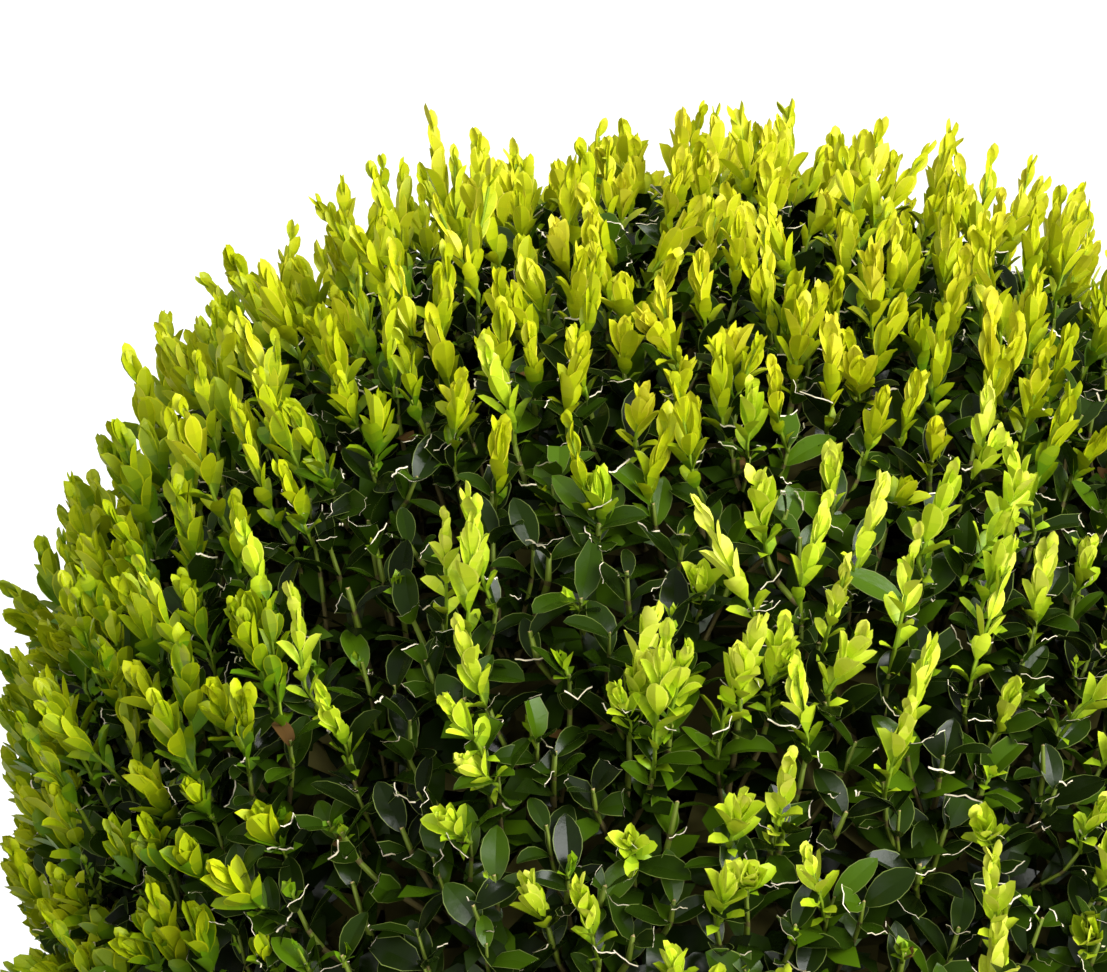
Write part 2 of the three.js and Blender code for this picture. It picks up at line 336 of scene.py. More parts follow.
def bough_points(mass, steps):
    """The source's bough: sideways or upwards out of the trunk, then along its mass's direction."""
    outward = mass["outward"]
    is_leader = mass["size"] is LEADER
    foot = trunk_centre(np.array(mass["leaves_at"] + (TOUCH if is_leader else 0)))
    flat = unit(outward * np.array([1, 1, 0]) + np.array([1e-9, 0, 0]))
    start = UP if is_leader else flat + UP * BOUGH_RISE
    tip = BALL_CENTRE + outward * BARE_RADIUS
    neck = tip - outward * BOUGH_NECK
    reach = np.linalg.norm(tip - foot)
    foot_pull, neck_pull = BOUGH_PULLS
    ends = (foot, foot + start * foot_pull * reach, neck - outward * neck_pull * reach, neck)
    points, _ = bezier([p[None] for p in ends], np.linspace(0, 1, steps - 1))
    return np.concatenate([points[0], tip[None]])


def make_boughs(masses, bark):
    sides, steps = 14, 44
    growth = Growth()
    faces = tube_faces(steps, sides)
    angle = np.arange(sides)[None, None] * 2 * math.pi / sides
    for key, mass in enumerate(masses):
        points = bough_points(mass, steps)[None]
        gaps = np.linalg.norm(np.diff(points[0], axis=0), axis=1)
        distance = np.concatenate([[0], np.cumsum(gaps)])
        share = distance / distance[-1]
        radii = lerp(mass["size"]["foot"], mass["size"]["tip"], share**0.8)[None]
        relief = bark_relief(distance[None, :, None], angle, key + 1.0, BOUGH_RELIEF)
        growth.add(tube_points(points, radii, sides, relief), faces, np.zeros(len(faces)))
    growth.piece("bough_bark", [bark], [f"bough_{m['name']}" for m in masses])


# ---- Finer wood: each level grows from the nearest tips of the level before ----

# Rings of a twig's tube: a swollen brown joint at its third and fourth nodes
TWIG_RINGS = np.array([0.0, 0.30, 0.665, 0.695, 0.815, 0.845, 1.0])
TWIG_SWELL = np.array([1.0, 1.0, 1.3, 1.3, 1.3, 1.3, 1.0])
TWIG_BARK, TWIG_GREEN, TWIG_CUT = 0, 1, 2
TWIG_TINTS = [TWIG_BARK, TWIG_BARK, TWIG_BARK, TWIG_GREEN, TWIG_BARK, TWIG_GREEN]
TWIG_STOUTNESS = (0.7, 1.25)


def grow_level(parents, level):
    """Curved limbs from the parents' tips nearest to a point some way behind where each one ends."""
    outward = lattice(level["count"], level["floor"])
    direction = growth_direction(outward, level["lift"])
    direction = unit(direction + rng.normal(0, WOOD_NOISE["direction"], direction.shape))
    unevenness = rng.normal(0, WOOD_NOISE["reach"], len(outward))
    reach = sheared_radius(outward) - level["depth"] + unevenness
    tips = BALL_CENTRE + outward * reach[:, None]
    sought = tips - direction * level["behind"]
    nearest = np.argmin(np.linalg.norm(sought[:, None] - parents["tips"][None], axis=-1), axis=1)
    start, start_direction = parents["tips"][nearest], parents["direction"][nearest]
    span = np.linalg.norm(tips - start, axis=1)[:, None]
    foot_pull, tip_pull = LIMB_PULLS
    leaving = start + start_direction * span * foot_pull
    arriving = tips - direction * span * tip_pull
    curves = (start, leaving, arriving, tips)
    return {"tips": tips, "direction": direction, "outward": outward, "curves": curves}


def add_limbs(growth, curves, girth, sides, rings):
    """Plain tubes along curves, with the radii at foot and tip that girth gives."""
    shares = np.linspace(0, 1, rings)
    points, _ = bezier(curves, shares)
    radii = np.broadcast_to(lerp(girth["foot"], girth["tip"], shares), points.shape[:2])
    faces = tube_faces(rings, sides)
    growth.add(tube_points(points, radii, sides), faces, np.zeros(len(faces)))


def make_twigs(twigs, masses, materials):
    """The last twigs, with a swollen joint where leaves sit, a green tip and a pale cut end."""
    sides = 3
    shares = TWIG_RINGS ** twigs["crowding"][:, None]
    points, _ = bezier(twigs["curves"], shares)
    stoutness = rng.uniform(*TWIG_STOUTNESS, (len(points), 1))
    radii = lerp(TWIG["foot"], TWIG["tip"], shares) * TWIG_SWELL * stoutness
    faces = tube_faces(len(TWIG_RINGS), sides)
    ring = faces.min(axis=1) // sides
    tints = np.array(TWIG_TINTS)[np.minimum(ring, len(TWIG_TINTS) - 1)]
    end_faces = sides - 2
    tints[-end_faces:] = TWIG_CUT
    growth = Growth()
    growth.add(tube_points(points, radii, sides), faces, tints)
    slots = [materials["twig"], materials["green_stem"], materials["cut_end"]]
    growth.piece("twigs", slots, [f"foliage_{m['name']}" for m in masses])


# ---- Leaves ----

MARGIN, DRY, DEAD, INNER = 100, 101, 102, 103  # kinds of faces that don't take the leaf's tint
CLIPPED_ROWS = [0.3, 0.62, 1.0]  # a clipped blade's rows, as shares of what the shears left
WAVES = (5, 2)  # how fast a blade's sides wave along it, and where they start


def blade(outline, margin=0.0, clipped=False, midrib=1, shading=None, edge=0):
    """One leaf as shares along and across it, with its faces and the kind of each.

    There are 0, 1 or 2 points across at the midrib: none leaves it flat, two crease it sharply.
    A face's kind says how many tints it is from the leaf's own, by the shading of its row or by edge
    at the margin, or it is one of the kinds above.
    """
    half = [1, 1 - margin] if margin else [1]
    across = [-a for a in half] + [0] * midrib + half[::-1]
    wide = len(across)
    rows = CLIPPED_ROWS if clipped else [u for u, _ in outline[1:-1]]
    shading = shading or [0] * (len(rows) + 1)
    along, sides = [0.0], [0.0]
    for u in rows:
        along += [u] * wide
        sides += across
    if not clipped:
        along.append(1.0)
        sides.append(0.0)
    tip = len(along) - 1
    faces, kinds = [], []
    for k in range(wide - 1):
        if across[k] == across[k + 1]:
            continue
        at_edge = margin and k in (0, wide - 2)
        faces.append((0, 1 + k, 2 + k))
        kinds.append(edge if at_edge else shading[0])
        for row in range(len(rows) - 1):
            a = 1 + row * wide + k
            b = a + wide
            kind = edge if at_edge else shading[row + 1]
            faces += [(a, b, b + 1), (a, b + 1, a + 1)]
            kinds += [kind, kind]
        if not clipped:
            last = tip - wide + k
            faces.append((last, tip, last + 1))
            kinds.append(edge if at_edge else shading[-1])
    return {
        "along": np.array(along),
        "across": np.array(sides, dtype=float),
        "faces": np.array(faces),
        "kinds": np.array(kinds),
        "outline": np.array(outline, dtype=float),
        "clipped": clipped,
    }


RIM_POINTS = 7
RIM_HALF = 1.06  # as a share of the blade's half width
RIM_TILT = (-1.0, 1.3)
RIM_WAVES = np.array([[2.2, 0.00045], [5.0, 0.00028], [9.0, 0.00016]])  # how fast, and how far


def dry_rim(leaves):
    """The edges that dried where the shears cut: wavering strips across the ends of the blades."""
    count = len(leaves["length"])
    across = np.tile(np.linspace(-RIM_HALF, RIM_HALF, RIM_POINTS), 2)
    outer = np.repeat([0, 1], RIM_POINTS)
    speed, size = RIM_WAVES[:, 0, None], RIM_WAVES[:, 1, None]
    phase = rng.uniform(0, 2 * math.pi, (2, count, len(RIM_WAVES), 1))
    waves = (size * np.sin(speed * across + phase)).sum(axis=2)
    tilt = rng.uniform(*RIM_TILT, (count, 1))
    thick = leaves["dry"][:, None] * outer
    near = np.arange(RIM_POINTS - 1)
    far = near + RIM_POINTS
    halves = [near, near + 1, far + 1], [near, far + 1, far]
    faces = np.concatenate([np.stack(half, 1) for half in halves])
    return {
        "along": np.ones(2 * RIM_POINTS),
        "across": across,
        "faces": faces,
        "kinds": np.full(len(faces), DRY),
        "outline": np.array(OLD_OUTLINE, dtype=float),
        "clipped": True,
        "strays": (waves[0] + thick * np.cos(tilt), waves[1] + thick * np.sin(tilt)),
    }


def leaf_points(shape, leaves):
    """Places of every point of every leaf. A leaf bends along its length and folds at its midrib."""
    along = np.broadcast_to(shape["along"], (len(leaves["length"]), len(shape["along"])))
    if shape["clipped"]:
        slant = leaves["slant"][:, None] * shape["across"] * shape["along"]
        along = along * leaves["cut"][:, None] * (1 + slant)
    profile = np.interp(np.clip(along, 0, 1), shape["outline"][:, 0], shape["outline"][:, 1])
    length, width = leaves["length"][:, None], leaves["width"][:, None]
    aside = shape["across"] * profile * width / 2
    curve = leaves["curve"][:, None]
    bend = curve * along
    forward = length * np.sin(bend) / curve
    rise = length * (1 - np.cos(bend)) / curve
    speed, start = WAVES
    waving = leaves["wave"][:, None] * np.sin(speed * along + start) * aside
    fold = leaves["fold"][:, None] * np.abs(aside) + waving
    astray = shape.get("strays", (0, 0))
    forward = forward - fold * np.sin(bend) + astray[0]
    rise = rise + fold * np.cos(bend) + astray[1]
    x, z = leaves["direction"], leaves["upper"]
    y = np.cross(z, x)
    places = leaves["place"][:, None] + forward[..., None] * x[:, None]
    return places + aside[..., None] * y[:, None] + rise[..., None] * z[:, None]


def leaf_frames(axes, turn, spread, roll):
    """Directions and upper sides of leaves spread from a stem's axis, turned round it and rolled."""
    side = turned(sideways_of(axes), axes, turn)
    cos, sin = np.cos(spread)[..., None], np.sin(spread)[..., None]
    direction = axes * cos + side * sin
    upper = axes * sin - side * cos
    return direction, turned(upper, direction, roll)


def some_of(leaves, chosen):
    """The chosen ones of leaves that are kept as an array for each property."""
    return {name: values[chosen] for name, values in leaves.items()}


def leaf_mesh(shape, leaves, palettes=1):
    """Order, points, faces and material numbers of the leaves, without those that reach too low.

    The piece's materials are the tints of each palette and then, for old leaves only, the margin,
    the dry edge, the dead and the inner leaf, whose dull colour is partly painted shade.
    """
    places = leaf_points(shape, leaves)
    clear = places[..., 2].min(axis=1) > LOWEST
    own = leaves["tint"][clear, None]
    kinds = np.where(own >= MARGIN, own, shape["kinds"])
    tint = np.clip(own + kinds, 0, TINTS - 1)
    if palettes > 1:
        tint = tint + TINTS * leaves["palette"][clear, None]
    level = np.where(kinds < MARGIN, tint, kinds - MARGIN + TINTS * palettes)
    return leaves["order"][clear], places[clear], shape["faces"], level


def leaf_pieces(name, meshes, materials):
    """Deals leaf meshes out to pieces of a limited size, from the top of the ball down."""
    total = sum(level.size for _, _, _, level in meshes)
    count = math.ceil(total / PIECE_LIMIT)
    orders = np.concatenate([np.repeat(order, level.shape[1]) for order, _, _, level in meshes])
    bounds = np.quantile(orders, np.linspace(0, 1, count + 1))
    bounds[0], bounds[-1] = -1, orders.max() + 1
    for k in range(count):
        growth = Growth()
        for order, places, faces, level in meshes:
            chosen = (order > bounds[k]) & (order <= bounds[k + 1])
            growth.add(places[chosen], faces, level[chosen])
        growth.piece(f"{name}_{k + 1}", materials)


# ---- Old leaves on the twigs ----

# A pair of numbers is a mean and a standard deviation over the leaves, unless it says otherwise
OLD_NODES = np.array([0.34, 0.52, 0.68, 0.83, 0.965])  # shares of the twig
OLD_FINE = 2  # how many of the outermost pairs are drawn with their margins
OLD_LEAF = (0.0178, 0.0024)
OLD_LENGTHS = (0.011, 0.024)  # the shortest and the longest
OLD_WIDTH = (0.475, 0.045)  # as a share of the length
OLD_SPREAD = (70, 36)  # degrees from the twig, at its foot and at its tip
OLD_SPREAD_NOISE = 11
OLD_TURN_NOISE, OLD_ROLL_NOISE = 0.22, 0.35  # radians
OLD_CURVE = (0.50, 0.35)
OLD_FOLD = (0.25, 0.12)
OLD_WAVE = (0, 0.10)
OLD_SLANT = (0, 0.12)  # of the cut across a leaf
OLD_TINT = (5.0, 2.3)  # of a whole twig
OLD_TINT_NOISE = 1.3  # among its leaves
OLD_EDGE = 0.06  # margin, as a share of the half width
DRY_WIDTH = (0.00022, 0.00064)  # from the narrowest to the widest dry edge
DEAD_SHARE, DEAD_SIZE = 0.008, 0.6
LEAST_CURVE = 0.02  # leaf_points divides by the curve
SHEAR_DEPTH = (0.0048, 0.0035)  # how far outside the sheared surface leaves were cut
SPARED_SHARE = 0.15
WHOLE, STUMP = 0.93, 0.28  # with more left a leaf counts as whole, and with less it isn't drawn

INNER_NODES = np.linspace(0.04, 0.96, 7)
INNER_LEAF = 0.030
INNER_WIDTH = 0.60  # as a share of the length
INNER_SPREAD = (60, 14)
INNER_TURN_NOISE, INNER_ROLL_NOISE = 0.3, 0.5
INNER_CURVE = (-0.3, 0.2)
INNER_FOLD = (0.15, 0.1)
INNER_WAVE = (0, 0.1)


def leaf_pairs(curves, shares, spread, turn_noise, roll_noise):
    """Crosswise pairs of leaves on stems: where each is, which way it points and its upper side."""
    count, nodes = shares.shape
    shape = (count, nodes, 2)
    places, axes = bezier(curves, shares)
    turn = rng.uniform(0, 2 * math.pi, (count, 1, 1)) + np.arange(nodes)[:, None] * math.pi / 2
    turn = turn + np.arange(2) * math.pi + rng.normal(0, turn_noise, shape)
    axes = np.broadcast_to(axes[:, :, None], (*shape, 3)).reshape(-1, 3)
    places = np.broadcast_to(places[:, :, None], (*shape, 3)).reshape(-1, 3)
    roll = rng.normal(0, roll_noise, shape)
    direction, upper = leaf_frames(axes, turn.ravel(), spread.ravel(), roll.ravel())
    return {"place": places, "direction": direction, "upper": upper}


def flat(values, shape):
    """Values dealt out to an array of the shape given, and then laid in one row."""
    return np.broadcast_to(values, shape).ravel()


def old_leaves(twigs):
    """Crosswise pairs on every twig, as flat arrays of leaves."""
    shape = (len(twigs["tips"]), len(OLD_NODES), 2)
    spots = OLD_NODES ** twigs["crowding"][:, None]
    spread = lerp(*OLD_SPREAD, OLD_NODES)[:, None] + rng.normal(0, OLD_SPREAD_NOISE, shape)
    spread = np.radians(spread)
    leaves = leaf_pairs(twigs["curves"], spots, spread, OLD_TURN_NOISE, OLD_ROLL_NOISE)
    length = rng.normal(*OLD_LEAF, shape).clip(*OLD_LENGTHS)
    node = np.arange(shape[1])[:, None]
    innermost = node < 2
    twig_tint = rng.normal(*OLD_TINT, shape[0])[:, None, None]
    # the leaves of the two innermost pairs of each twig are one tint darker, deeper in the ball
    tint = np.rint(twig_tint + rng.normal(0, OLD_TINT_NOISE, shape) + innermost)
    tint = tint.clip(0, TINTS - 1)
    dead = rng.random(shape) < DEAD_SHARE
    length = np.where(dead, DEAD_SIZE * length, length)
    tint = np.where(dead, DEAD, tint)
    leaves.update({
        "length": length.ravel(),
        "width": (length * rng.normal(*OLD_WIDTH, shape)).ravel(),
        "curve": (-np.abs(rng.normal(*OLD_CURVE, shape)) - LEAST_CURVE - dead).ravel(),
        "fold": rng.normal(*OLD_FOLD, shape).ravel(),
        "wave": rng.normal(*OLD_WAVE, shape).ravel(),
        "node": flat(node, shape),
        "tint": flat(tint, shape),
        "order": flat(np.arange(shape[0])[:, None, None], shape),
        "slant": rng.normal(*OLD_SLANT, shape).ravel(),
        "dry": rng.uniform(*DRY_WIDTH, shape).ravel(),
    })
    return leaves


def shear(leaves):
    """Finds how much the shears left of each leaf: 1 where it wasn't touched."""

    def above(places):
        start = places - BALL_CENTRE
        return np.linalg.norm(start, axis=-1) - sheared_radius(unit(start))

    depth = rng.normal(*SHEAR_DEPTH, len(leaves["length"]))
    foot = above(leaves["place"]) - depth
    tip = above(leaves["place"] + leaves["direction"] * leaves["length"][:, None]) - depth
    spared = rng.random(len(foot)) < SPARED_SHARE
    cut = np.where((tip > 0) & ~spared, -foot / np.maximum(tip - foot, 1e-6), 1.0)
    leaves["cut"] = np.clip(cut, 0, 1)
    return leaves


def inner_shade_leaves(limbs):
    """Plain dull leaves deeper in, closing the view through the ball: partly real, partly painted
    shade.
    """
    shape = (len(limbs["tips"]), len(INNER_NODES), 2)
    shares = INNER_NODES + rng.normal(0, 0.03, shape[:2])
    spread = np.radians(rng.normal(*INNER_SPREAD, shape))
    leaves = leaf_pairs(limbs["curves"], shares, spread, INNER_TURN_NOISE, INNER_ROLL_NOISE)
    length = INNER_LEAF * rng.normal(1, 0.10, shape)
    order = rng.integers(0, TWIG["count"], shape)
    leaves.update({
        "length": length.ravel(),
        "width": (length * INNER_WIDTH).ravel(),
        "curve": rng.normal(*INNER_CURVE, shape).ravel(),
        "fold": rng.normal(*INNER_FOLD, shape).ravel(),
        "wave": rng.normal(*INNER_WAVE, shape).ravel(),
        "tint": flat(INNER, shape),
        "order": order.ravel(),
    })
    return leaves


def make_old_leaves(twigs, branchlets, branches, materials):
    leaves = shear(old_leaves(twigs))
    fine = leaves["node"] >= len(OLD_NODES) - OLD_FINE
    whole = leaves["cut"] > WHOLE
    clipped = (leaves["cut"] > STUMP) & ~whole
    fine_blade = blade(OLD_OUTLINE, OLD_EDGE, midrib=2, edge=MARGIN)
    clipped_blade = blade(OLD_OUTLINE, OLD_EDGE, clipped=True, midrib=2, edge=MARGIN)
    plain_blade = blade(PLAIN_OUTLINE, midrib=0)
    cut_leaves = some_of(leaves, clipped)
    meshes = [
        leaf_mesh(fine_blade, some_of(leaves, whole & fine)),
        leaf_mesh(plain_blade, some_of(leaves, whole & ~fine)),
        leaf_mesh(clipped_blade, cut_leaves),
        leaf_mesh(dry_rim(cut_leaves), cut_leaves),
        leaf_mesh(plain_blade, inner_shade_leaves(branchlets)),
        leaf_mesh(plain_blade, inner_shade_leaves(branches)),
    ]
    others = [materials[kind] for kind in ("old_margin", "dry", "dead", "inner")]
    slots = [*materials["old"], *others]
    leaf_pieces("old_leaves", meshes, slots)


# ---- New shoots ----

# Pairs from a shoot's foot to its tip: share of the stem, spread in degrees, size, width, curve
SHOOT_PAIRS = [
    (0.05, 46, 0.50, 0.38, -0.40),
    (0.22, 36, 0.76, 0.39, -0.15),
    (0.37, 30, 0.92, 0.38, 0.10),
    (0.50, 26, 1.00, 0.37, 0.22),
    (0.63, 22, 1.00, 0.36, 0.32),
    (0.76, 17, 0.92, 0.35, 0.40),
    (0.88, 13, 0.82, 0.36, 0.50),
    (1.00, 8, 0.64, 0.38, 0.55),
]
# How each pair is drawn, and how many tints greener and darker it is than the shoot: the lower
# pairs' own greener colour, and partly painted shade deeper in the shoot
SHOOT_DETAIL = ["plain", "simple", "simple", "fine", "fine", "fine", "simple", "simple"]
SHOOT_GREENER_AND_SHADED = np.array([5, 4, 3, 1, 0, 0, 0, 0])
NEW_LEAF = 0.0136  # length of a new leaf
LEFT_LEAF = 0.0152  # and of one on the ball's left, where they are larger
NEW_EDGE = 0.13  # margin, as a share of the half width: a pale edge, partly painted rim light
NEW_CURVE_NOISE = 0.22
NEW_FOLD = (0.60, 0.15)
NEW_WAVE = (0, 0.08)
# Of low shoots and of high ones: how far their leaves open, and how much wider they are
OPENNESS = (1.25, 0.95)
ROUNDNESS = (1.24, 1.13)
# How many shoots a twig carries on top, on the sides, and more than that on the left
SHARE_ON_TOP, SHARE_ON_SIDES, MORE_ON_LEFT = 0.92, 0.46, 0.56
CLUMPING = 0.75
# Heights on the unit ball, and how far past the ball's radius the shoots there reach on the whole
SHOOT_REACH = ([-1.0, 0.0, 0.35, 0.6, 1.0], [-0.010, -0.007, -0.001, -0.003, -0.011])
CLUMP_REACH = 0.005  # how much further the shoots of a clump reach
SHOULDER_REACH = 0.012  # and those on the ball's shoulders
SHOOT_START = (0.002, 0.010)  # how far behind the twig's end a shoot begins
SHOOT_HEIGHTS = (0.018, 0.060)  # of the lowest and the highest
SHORTEST_STEM = 0.009
SHOOT_NOISE = {"place": 0.022, "direction": 0.19, "reach": 0.0080, "lean": 0.35}
SHOOT_STEM = {"foot": 0.00085, "tip": 0.0006}
BUD_PAIRS = [(0.3, 48, 0.8, 0.5, 0.1), (0.7, 30, 1.0, 0.5, 0.3), (1.0, 12, 0.7, 0.45, 0.4)]
BUD_LEAF = 0.0062
BUD_SHARE = 0.40  # of the twigs without a shoot that carry a tuft
BUD_START = (0.001, 0.012)
BUD_STEM = (0.003, 0.009)
BUD_NOISE = {"direction": 0.3, "lean": 0.5, "leaf": 0.15}
# Tints of a shoot: of the shaded palette, of the sunny one low and high on the ball, how much
# darker it is on the left as painted shade, and the darkest
SHADED_LEVEL, SUNNY_LEVELS, PAINTED_SHADE_LEFT, DARKEST = 2.2, (5.3, 3.0), 1.9, 8
LOWEST_TIP = 0.050  # shoots and tufts that would end lower, and hang under the ball, are left out


def clumps(outward):
    """From -1 to 1, changing slowly over the ball: shoots come in clumps with bare places between."""
    x, y, z = (outward * 9).T
    waves = np.sin(x + 1.7 * np.sin(0.8 * y + 1)) + np.sin(1.1 * y + 1.4 * np.sin(0.9 * z + 2))
    return (waves + np.sin(1.3 * z + 1.8 * np.sin(0.7 * x + 4))) / 3


def shoots_wanted(outward):
    """How many shoots each twig carries: about one on top, fewer and in clumps on the sides."""
    x, y, z = outward.T
    top = smoothstep(z, 0.38, 0.82)
    side = SHARE_ON_SIDES + MORE_ON_LEFT * smoothstep(-x + 0.2 * y, 0.30, 0.78)
    wanted = lerp(side, SHARE_ON_TOP, top) * (1 + CLUMPING * clumps(outward) * (1.25 - top))
    wanted = wanted * smoothstep(z, -0.9, -0.35)
    return np.floor(wanted + rng.random(len(outward))).astype(int)


def grow_shoots(twigs, number):
    """Shoots from just under the cut ends of the twigs, up to near the ball's outside."""
    chosen = np.repeat(np.arange(len(number)), number)
    count = len(chosen)
    outward = unit(twigs["outward"][chosen] + rng.normal(0, SHOOT_NOISE["place"], (count, 3)))
    wood = twigs["direction"][chosen]
    start = twigs["tips"][chosen] - wood * rng.uniform(*SHOOT_START, (count, 1))
    direction = growth_direction(outward, NEW_LIFT)
    direction = unit(direction + rng.normal(0, SHOOT_NOISE["direction"], (count, 3)))
    x, _, z = outward.T
    radius = BALL_RADIUS + np.interp(z, *SHOOT_REACH) + CLUMP_REACH * clumps(outward * 1.3)
    shoulder = smoothstep(x, 0.28, 0.55) + 0.35 * smoothstep(-x, 0.15, 0.45)
    radius = radius + SHOULDER_REACH * shoulder * smoothstep(z, 0.50, 0.72)
    radius = radius + rng.normal(0, SHOOT_NOISE["reach"], count)
    height = way_out(start, direction, radius).clip(*SHOOT_HEIGHTS)
    leaf = lerp(NEW_LEAF, LEFT_LEAF, smoothstep(-x, 0.3, 0.8))
    leaf = leaf * rng.normal(1.0, 0.12, count).clip(0.8, 1.15)
    past_stem = 0.58 * leaf  # how far the topmost leaves reach past the stem
    stem = np.maximum(height - past_stem, SHORTEST_STEM)
    lean = unit(wood * 0.6 + direction + rng.normal(0, SHOOT_NOISE["lean"], (count, 3)))
    return sprouts(start, lean, direction, stem, leaf, outward, chosen)


def grow_buds(twigs, number):
    """Small tufts that have just opened at cut ends that carry no shoot."""
    chosen = np.flatnonzero((number == 0) & (rng.random(len(number)) < BUD_SHARE))
    count = len(chosen)
    wood = twigs["direction"][chosen]
    start = twigs["tips"][chosen] - wood * rng.uniform(*BUD_START, (count, 1))
    direction = unit(wood + rng.normal(0, BUD_NOISE["direction"], (count, 3)))
    stem = rng.uniform(*BUD_STEM, count)
    leaf = BUD_LEAF * rng.normal(1, BUD_NOISE["leaf"], count)
    lean = unit(wood + rng.normal(0, BUD_NOISE["lean"], (count, 3)))
    return sprouts(start, lean, direction, stem, leaf, twigs["outward"][chosen], chosen)


def sprouts(start, lean, direction, stem, leaf, outward, order):
    """Shoots or tufts with stems that leave along lean and end along direction."""
    stem = stem[:, None]
    tips = start + direction * stem
    curves = (start, start + lean * stem * 0.35, tips - direction * stem * 0.4, tips)
    clear = tips[:, 2] > LOWEST_TIP
    return {"curves": curves, "outward": outward, "leaf": leaf, "order": order, "clear": clear}


def shoot_tints(shoots):
    """The palette and the tint of each shoot: sunny at the top and on the left, shaded elsewhere."""
    x, _, height = shoots["outward"].T
    shaded_share = (1 - smoothstep(height, 0.42, 0.74)) * smoothstep(x, -0.68, -0.30)
    shaded = rng.random(len(height)) < shaded_share
    sunny_level = lerp(*SUNNY_LEVELS, smoothstep(height, 0.30, 0.85))
    level = np.where(shaded, SHADED_LEVEL, sunny_level)
    # painted shade: shoots on the ball's left are made darker
    level = level + rng.normal(0, 1.0, len(height)) + PAINTED_SHADE_LEFT * smoothstep(-x, 0.05, 0.60)
    return shaded.astype(int), np.rint(level).clip(0, DARKEST).astype(int)


def shoot_leaves(shoots, pairs):
    """The leaves of shoots or tufts, without those of the ones that would hang too low."""
    share, spread, size, broad, curve = (np.array(column) for column in zip(*pairs))
    shape = (len(shoots["leaf"]), len(pairs), 2)
    high = smoothstep(shoots["outward"][:, 2], 0.3, 0.7)
    opened = lerp(*OPENNESS, high)[:, None, None]
    openness = (opened + rng.normal(0, 0.25, (shape[0], 1, 1))).clip(0.5, 1.9)
    angle = np.radians(spread[:, None] * openness + rng.normal(0, 5, shape)).clip(0.02)
    shares = share + np.zeros(shape[:2])
    leaves = leaf_pairs(shoots["curves"], shares, angle, 0.16, 0.16)
    length = shoots["leaf"][:, None, None] * size[:, None] * rng.normal(1, 0.08, shape)
    pair = np.arange(shape[1])[:, None]
    roundness = lerp(*ROUNDNESS, high)[:, None, None]
    palette, tint = shoot_tints(shoots)
    tint = tint[:, None, None] + SHOOT_GREENER_AND_SHADED[pair] + rng.integers(-1, 2, shape)
    leaves.update({
        "length": length.ravel(),
        "width": (length * roundness * broad[:, None] * rng.normal(1.0, 0.09, shape)).ravel(),
        "curve": (curve[:, None] + rng.normal(0, NEW_CURVE_NOISE, shape)).ravel() + 1e-3,
        "fold": rng.normal(*NEW_FOLD, shape).ravel(),
        "wave": rng.normal(*NEW_WAVE, shape).ravel(),
        "pair": flat(pair, shape),
        "palette": flat(palette[:, None, None], shape),
        "tint": flat(tint, shape),
        "order": flat(shoots["order"][:, None, None], shape),
    })
    return some_of(leaves, np.repeat(shoots["clear"], 2 * len(pairs)))


def make_shoots(twigs, materials):
    number = shoots_wanted(twigs["outward"])
    shoots, buds = grow_shoots(twigs, number), grow_buds(twigs, number)
    leaves = shoot_leaves(shoots, SHOOT_PAIRS)
    # Each row's shading gives a new leaf a greener foot and a lighter tip: its own colour, and partly
    # painted shade at the foot where the leaves overlap
    blades = {
        # On new leaves the margin is three tints lighter: partly a pale edge, partly painted rim light
        "fine": blade(NEW_OUTLINE, NEW_EDGE, midrib=2, shading=[3, 2, 1, 0, 0, -1], edge=-3),
        "simple": blade(SIMPLE_OUTLINE, shading=[3, 2, 0, -1, -1]),
        "plain": blade(PLAIN_OUTLINE, midrib=0, shading=[2, 1, 0]),
    }
    detail = np.array(SHOOT_DETAIL)[leaves["pair"]]
    groups = [(blades[name], some_of(leaves, detail == name)) for name in blades]
    groups.append((blades["plain"], shoot_leaves(buds, BUD_PAIRS)))
    meshes = [leaf_mesh(shape, group, palettes=2) for shape, group in groups]
    leaf_pieces("new_leaves", meshes, materials["new"])
    stems = Growth()
    for sprout, rings in ((shoots, 4), (buds, 3)):
        curves = [points[sprout["clear"]] for points in sprout["curves"]]
        add_limbs(stems, curves, SHOOT_STEM, sides=3, rings=rings)
    stems.piece("new_stems", [materials["new_stem"]])


# ---- Materials ----


def plain_material(name, colour, roughness, specular):
    material = bpy.data.materials.new(name)
    material.use_nodes = True
    shader = material.node_tree.nodes["Principled BSDF"]
    shader.inputs["Base Color"].default_value = colour
    shader.inputs["Roughness"].default_value = roughness
    shader.inputs["Specular IOR Level"].default_value = specular
    material.diffuse_color = colour
    return material


def roughened(material, scale, detail, strength, distance):
    """Gives a material a fine unevenness, and returns the noise that it comes from."""
    nodes, links = material.node_tree.nodes, material.node_tree.links
    noise = nodes.new("ShaderNodeTexNoise")
    noise.inputs["Scale"].default_value = scale
    noise.inputs["Detail"].default_value = detail
    bump = nodes.new("ShaderNodeBump")
    bump.inputs["Strength"].default_value = strength
    bump.inputs["Distance"].default_value = distance
    links.new(noise.outputs["Fac"], bump.inputs["Height"])
    links.new(bump.outputs["Normal"], nodes["Principled BSDF"].inputs["Normal"])
    return noise


def set_ramp(ramp, *stops):
    """Puts the two ends of a colour ramp at the positions and colours given."""
    for element, (position, colour) in zip(ramp.color_ramp.elements, stops):
        element.position = position
        element.color = colour


def leaf_materials(name, tints, roughness, specular):
    """A material for each tint, with the unevenness that breaks up a leaf's gloss."""
    made = []
    for key, tint in enumerate(tints):
        material = plain_material(f"{name}_{key + 1}", tint, roughness, specular)
        roughened(material, scale=260, detail=2, strength=0.12, distance=0.0006)
        made.append(material)
    return made


